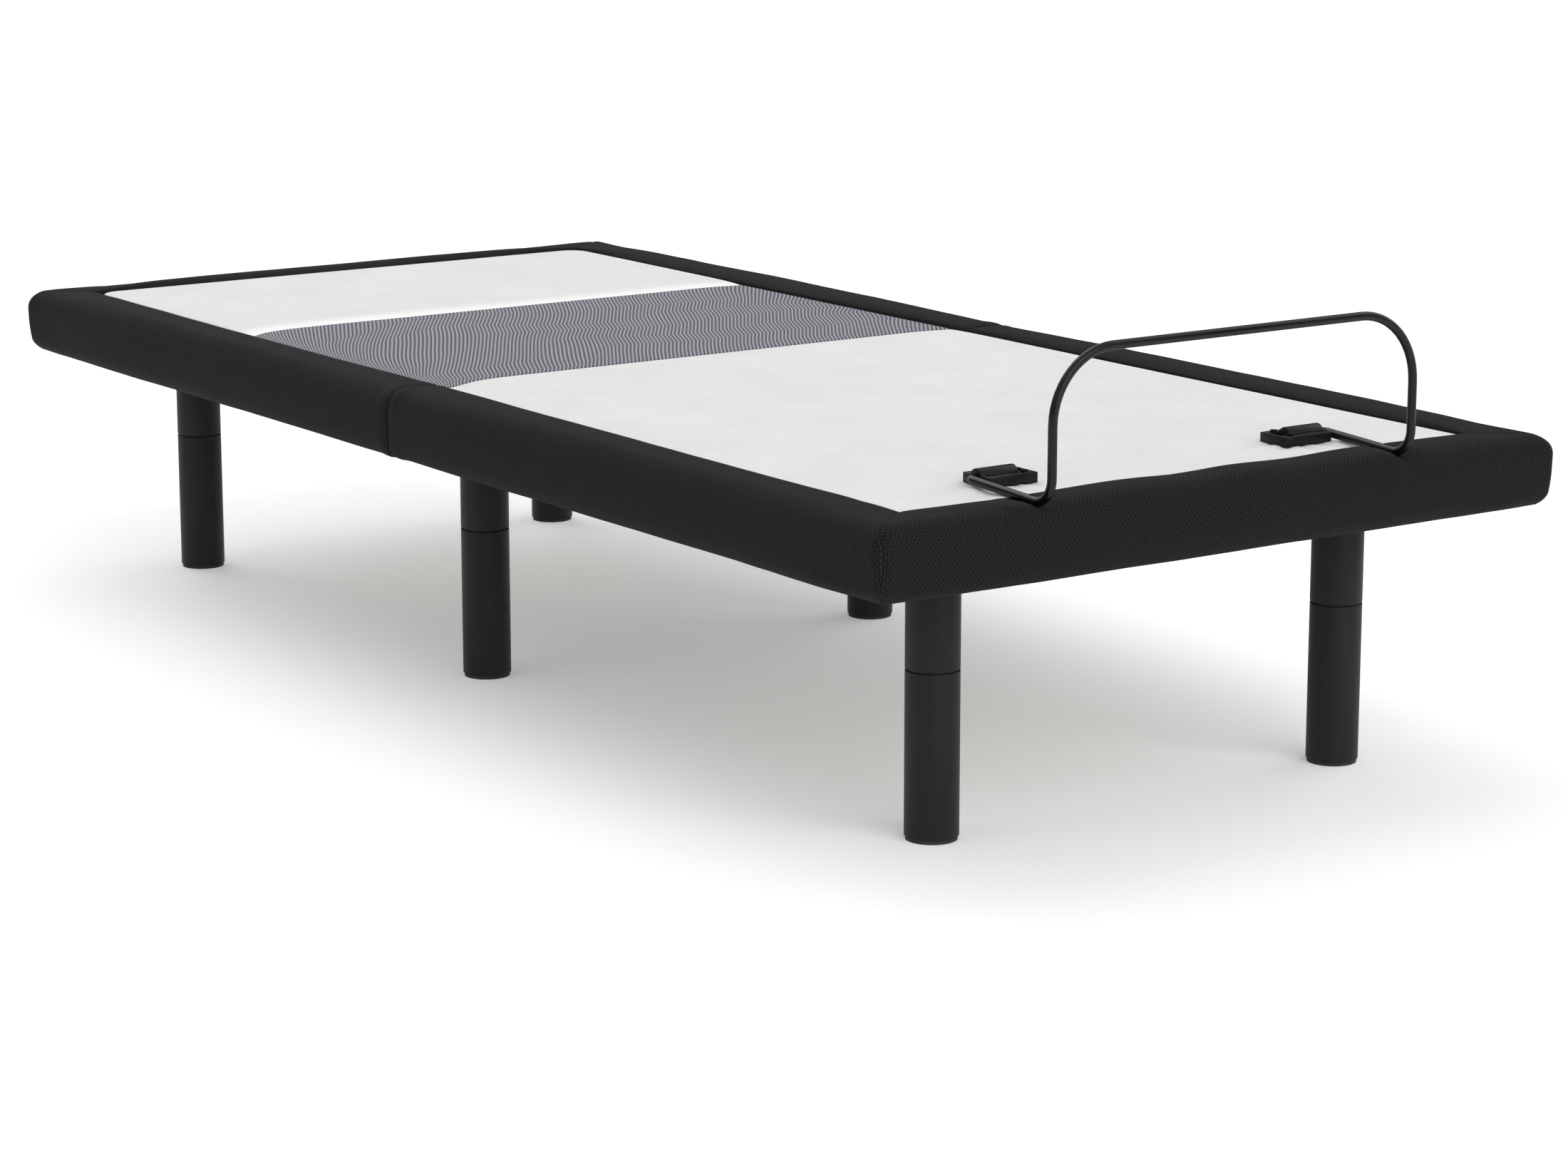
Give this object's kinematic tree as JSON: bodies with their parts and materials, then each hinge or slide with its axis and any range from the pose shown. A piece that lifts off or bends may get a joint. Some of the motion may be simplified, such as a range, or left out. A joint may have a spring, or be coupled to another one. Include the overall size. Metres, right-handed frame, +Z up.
{
  "type": "adjustable bed base",
  "caption": "Adjustable bed base with padded black rails on round legs, an articulated white deck with a grey flex band, and a mattress retainer bar.",
  "frame": {"origin": "floor level under the middle of the footprint", "axes": "+X across the width, +Y along the length towards the head end, +Z up"},
  "size_m": [0.944, 2.02, 0.5515],
  "materials": {
    "frame_paint": "satin black powder coat",
    "zinc": "zinc-plated steel",
    "leg_black": "matte black",
    "glide_rubber": "matte",
    "rail_fabric": "black woven upholstery over foam",
    "board_wood": "plain birch plywood",
    "band_fabric": "ribbed grey stretch fabric",
    "deck_fabric": "white deck cloth over thin foam",
    "nylon": "off-white nylon",
    "drive_plastic": "fine grained black",
    "drive_tube_paint": "satin black",
    "rod_steel": "ground bright steel",
    "bracket_plastic": "satin black moulding",
    "bar_paint": "satin black powder coat"
  },
  "bodies": {
    "base": {"head_frame": "frame_paint", "foot_frame": "frame_paint", "frame_splices": "frame_paint", "frame_bolts": "zinc", "head_cross_member": "frame_paint", "mid_cross_member": "frame_paint", "foot_cross_member": "frame_paint", "hinge_cross_member": "frame_paint", "link_cross_member": "frame_paint", "leg_mount_plates": "frame_paint", "upper_leg_foot_left": "leg_black", "upper_leg_foot_right": "leg_black", "upper_leg_mid_left": "leg_black", "upper_leg_mid_right": "leg_black", "upper_leg_head_left": "leg_black", "upper_leg_head_right": "leg_black", "lower_leg_foot_left": "leg_black", "lower_leg_foot_right": "leg_black", "lower_leg_mid_left": "leg_black", "lower_leg_mid_right": "leg_black", "lower_leg_head_left": "leg_black", "lower_leg_head_right": "leg_black", "leg_glides": "glide_rubber", "head_rail_wrap": "rail_fabric", "foot_rail_wrap": "rail_fabric", "seat_board": "board_wood", "seat_pad": "band_fabric", "seat_front_pad": "deck_fabric", "hinge_pins": "zinc", "bearing_brackets": "frame_paint", "tube_bushes": "nylon", "back_drive_motor": "drive_plastic", "back_drive_tube": "drive_tube_paint", "thigh_drive_motor": "drive_plastic", "thigh_drive_tube": "drive_tube_paint", "control_box": "drive_plastic"},
    "back": {"back_board": "board_wood", "back_frame": "frame_paint", "back_band_pad": "band_fabric", "head_pad": "deck_fabric"},
    "thigh": {"thigh_board": "board_wood", "thigh_frame": "frame_paint", "thigh_pad": "deck_fabric", "knee_pins": "zinc"},
    "calf": {"calf_board": "board_wood", "calf_frame": "frame_paint", "calf_pad": "deck_fabric", "retainer_brackets": "bracket_plastic", "bracket_screws": "zinc"},
    "retainer_bar": {"retainer_bar": "bar_paint"},
    "calf_link_left": {"calf_link_left": "frame_paint"},
    "calf_link_right": {"calf_link_right": "frame_paint"},
    "back_lift": {"back_lift_tube": "frame_paint"},
    "thigh_lift": {"thigh_lift_tube": "frame_paint"},
    "back_roller_left": {"back_roller_left": "nylon"},
    "back_roller_right": {"back_roller_right": "nylon"},
    "thigh_roller_left": {"thigh_roller_left": "nylon"},
    "thigh_roller_right": {"thigh_roller_right": "nylon"},
    "back_drive_rod": {"back_drive_rod": "rod_steel"},
    "thigh_drive_rod": {"thigh_drive_rod": "rod_steel"}
  },
  "joints": [
    {"name": "back_tilt", "type": "hinge", "parent": "base", "child": "back", "pos_m": [0, 0.242, 0.334], "axis": [1, 0, 0], "range_deg": [0, 60]},
    {"name": "back_lift_turn", "type": "hinge", "parent": "base", "child": "back_lift", "pos_m": [0, 0.522, 0.334], "axis": [1, 0, 0], "range_deg": [0, 120.5]},
    {"name": "back_drive_push", "type": "slide", "parent": "base", "child": "back_drive_rod", "axis": [0, 1, 0], "range_m": [0, 0.1043]},
    {"name": "thigh_tilt", "type": "hinge", "parent": "base", "child": "thigh", "pos_m": [0, -0.02, 0.334], "axis": [-1, 0, 0], "range_deg": [0, 38]},
    {"name": "calf_level", "type": "hinge", "parent": "thigh", "child": "calf", "pos_m": [0, -0.39, 0.334], "axis": [-1, 0, 0], "range_deg": [-38.2, 0]},
    {"name": "calf_link_left_turn", "type": "hinge", "parent": "base", "child": "calf_link_left", "pos_m": [-0.33, -0.43, 0.335], "axis": [-1, 0, 0], "range_deg": [0, 38.2]},
    {"name": "calf_link_right_turn", "type": "hinge", "parent": "base", "child": "calf_link_right", "pos_m": [0.33, -0.43, 0.335], "axis": [-1, 0, 0], "range_deg": [0, 38.2]},
    {"name": "thigh_lift_turn", "type": "hinge", "parent": "base", "child": "thigh_lift", "pos_m": [0, -0.17, 0.334], "axis": [-1, 0, 0], "range_deg": [0, 76.5]},
    {"name": "thigh_drive_push", "type": "slide", "parent": "base", "child": "thigh_drive_rod", "axis": [0, -1, 0], "range_m": [0, 0.0743]},
    {"name": "retainer_bar_swing", "type": "hinge", "parent": "calf", "child": "retainer_bar", "pos_m": [0, -0.865, 0.3915], "axis": [-1, 0, 0], "range_deg": [0, 125]},
    {"name": "back_roller_left_spin", "type": "hinge", "parent": "back_lift", "child": "back_roller_left", "pos_m": [-0.215, 0.802, 0.334], "axis": [1, 0, 0], "continuous": true},
    {"name": "thigh_roller_left_spin", "type": "hinge", "parent": "thigh_lift", "child": "thigh_roller_left", "pos_m": [-0.215, -0.32, 0.334], "axis": [1, 0, 0], "continuous": true},
    {"name": "back_roller_right_spin", "type": "hinge", "parent": "back_lift", "child": "back_roller_right", "pos_m": [0.215, 0.802, 0.334], "axis": [1, 0, 0], "continuous": true},
    {"name": "thigh_roller_right_spin", "type": "hinge", "parent": "thigh_lift", "child": "thigh_roller_right", "pos_m": [0.215, -0.32, 0.334], "axis": [1, 0, 0], "continuous": true}
  ],
  "couplings": [
    {"joint": "back_lift_turn", "follows": "back_tilt", "ratio": 2},
    {"joint": "back_drive_push", "follows": "back_tilt", "m_per_rad": 0.099239},
    {"joint": "calf_level", "follows": "thigh_tilt", "ratio": -1},
    {"joint": "calf_link_left_turn", "follows": "thigh_tilt", "ratio": 1},
    {"joint": "calf_link_right_turn", "follows": "thigh_tilt", "ratio": 1},
    {"joint": "thigh_lift_turn", "follows": "thigh_tilt", "ratio": 2},
    {"joint": "thigh_drive_push", "follows": "thigh_tilt", "m_per_rad": 0.11139}
  ]
}
